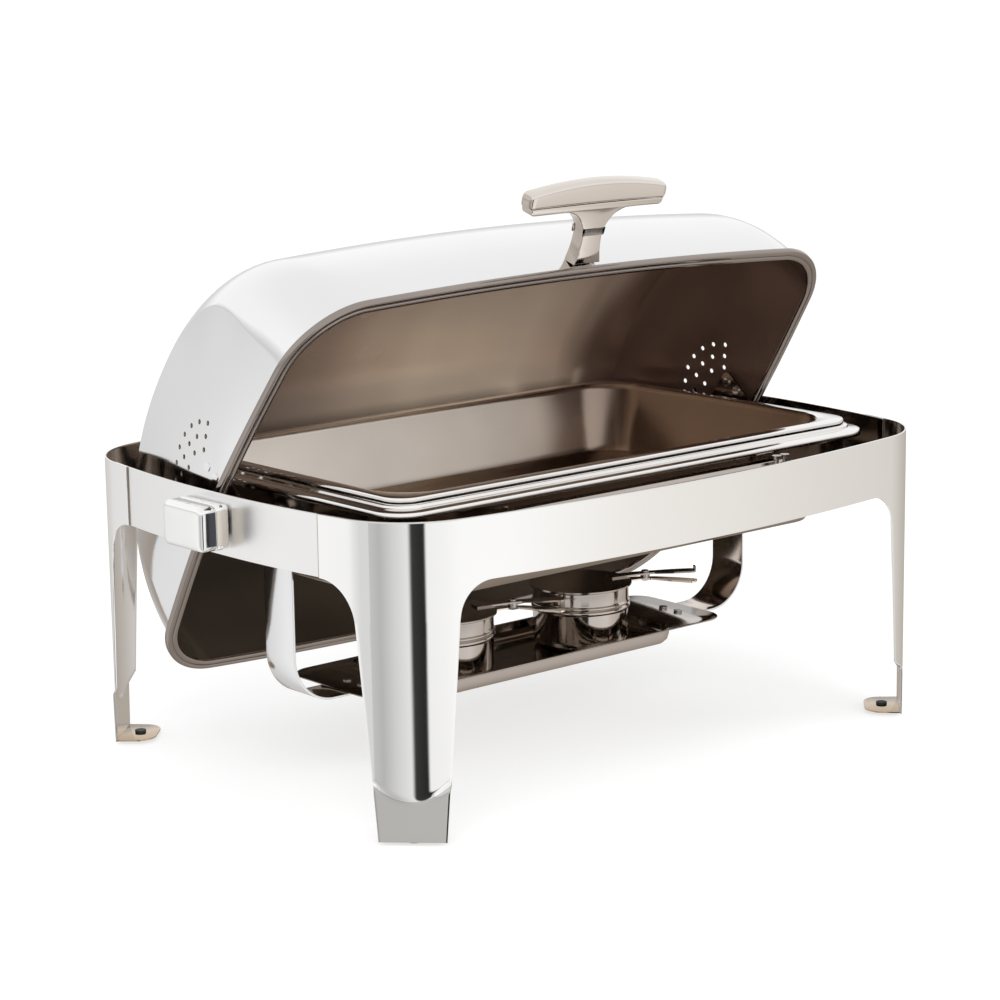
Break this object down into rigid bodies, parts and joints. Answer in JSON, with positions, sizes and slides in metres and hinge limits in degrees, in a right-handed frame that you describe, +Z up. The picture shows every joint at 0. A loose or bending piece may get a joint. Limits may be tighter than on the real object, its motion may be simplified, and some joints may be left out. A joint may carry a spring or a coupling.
{
  "type": "chafing dish food warmer",
  "caption": "Rectangular roll-top chafing dish on a leg frame, with rolling cover, water pan, food pan and swivel-lid fuel holders.",
  "frame": {"origin": "centre of the footprint, on the surface that the feet stand on", "axes": "+X along the long side, -Y towards the serving side, +Z up"},
  "size_m": [0.7164, 0.4998, 0.5056],
  "materials": {
    "mirror_steel": "mirror-polished stainless steel",
    "cover_rim_steel": "polished stainless steel",
    "cast_handle": "polished casting",
    "pan_steel": "satin drawn stainless steel",
    "bracket_steel": "polished stainless strip",
    "tray_steel": "polished stainless sheet",
    "holder_steel": "polished stainless steel",
    "fastener_steel": "plain steel",
    "washer_nylon": "black nylon",
    "foot_rubber": "black rubber"
  },
  "bodies": {
    "frame": {"front_leg_panel": "mirror_steel", "rear_leg_panel": "mirror_steel", "right_end_band": "mirror_steel", "left_end_band": "mirror_steel", "foot_bumpers": "foot_rubber", "left_pan_cradle": "bracket_steel", "right_pan_cradle": "bracket_steel", "front_rail": "bracket_steel", "rail_rivets": "fastener_steel", "pan_guide_pins": "fastener_steel", "rail_tabs": "bracket_steel", "left_hinge_axle": "fastener_steel", "left_hinge_spacer": "fastener_steel", "left_friction_washer": "washer_nylon", "left_hinge_base": "mirror_steel", "left_hinge_cap": "mirror_steel", "right_hinge_axle": "fastener_steel", "right_hinge_spacer": "fastener_steel", "right_friction_washer": "washer_nylon", "right_hinge_base": "mirror_steel", "right_hinge_cap": "mirror_steel", "hinge_nuts": "fastener_steel", "hinge_box_screws": "fastener_steel", "left_fuel_strap": "bracket_steel", "right_fuel_strap": "bracket_steel", "fuel_tray": "tray_steel", "tray_rivets": "fastener_steel"},
    "cover": {"cover_shell": "mirror_steel", "cover_rim": "cover_rim_steel", "left_cover_hinge_plate": "bracket_steel", "right_cover_hinge_plate": "bracket_steel", "cover_hinge_rivets": "fastener_steel", "cover_handle": "cast_handle", "cover_handle_screws": "fastener_steel"},
    "water_pan": {"water_pan": "pan_steel"},
    "food_pan": {"food_pan": "pan_steel"},
    "left_holder": {"left_fuel_cup": "holder_steel", "left_cup_handle": "holder_steel", "left_lid_rivet": "fastener_steel"},
    "left_lid": {"left_fuel_lid": "holder_steel"},
    "right_holder": {"right_fuel_cup": "holder_steel", "right_cup_handle": "holder_steel", "right_lid_rivet": "fastener_steel"},
    "right_lid": {"right_fuel_lid": "holder_steel"}
  },
  "joints": [
    {"name": "cover_hinge", "type": "hinge", "parent": "frame", "child": "cover", "pos_m": [0, 0, 0.238], "axis": [-1, 0, 0], "range_deg": [-55, 95]},
    {"name": "water_pan_lift", "type": "slide", "parent": "frame", "child": "water_pan", "axis": [0, 0, 1], "range_m": [0, 0.02]},
    {"name": "food_pan_lift", "type": "slide", "parent": "water_pan", "child": "food_pan", "axis": [0, 0, 1], "range_m": [0, 0.03]},
    {"name": "left_holder_lift", "type": "slide", "parent": "frame", "child": "left_holder", "axis": [0, 0, 1], "range_m": [0, 0.02]},
    {"name": "right_holder_lift", "type": "slide", "parent": "frame", "child": "right_holder", "axis": [0, 0, 1], "range_m": [0, 0.02]},
    {"name": "left_lid_swivel", "type": "hinge", "parent": "left_holder", "child": "left_lid", "pos_m": [-0.01632, -0.0176, 0.12], "axis": [0, 0, -1], "range_deg": [0, 75]},
    {"name": "right_lid_swivel", "type": "hinge", "parent": "right_holder", "child": "right_lid", "pos_m": [0.14768, -0.0176, 0.12], "axis": [0, 0, -1], "range_deg": [0, 75]}
  ]
}
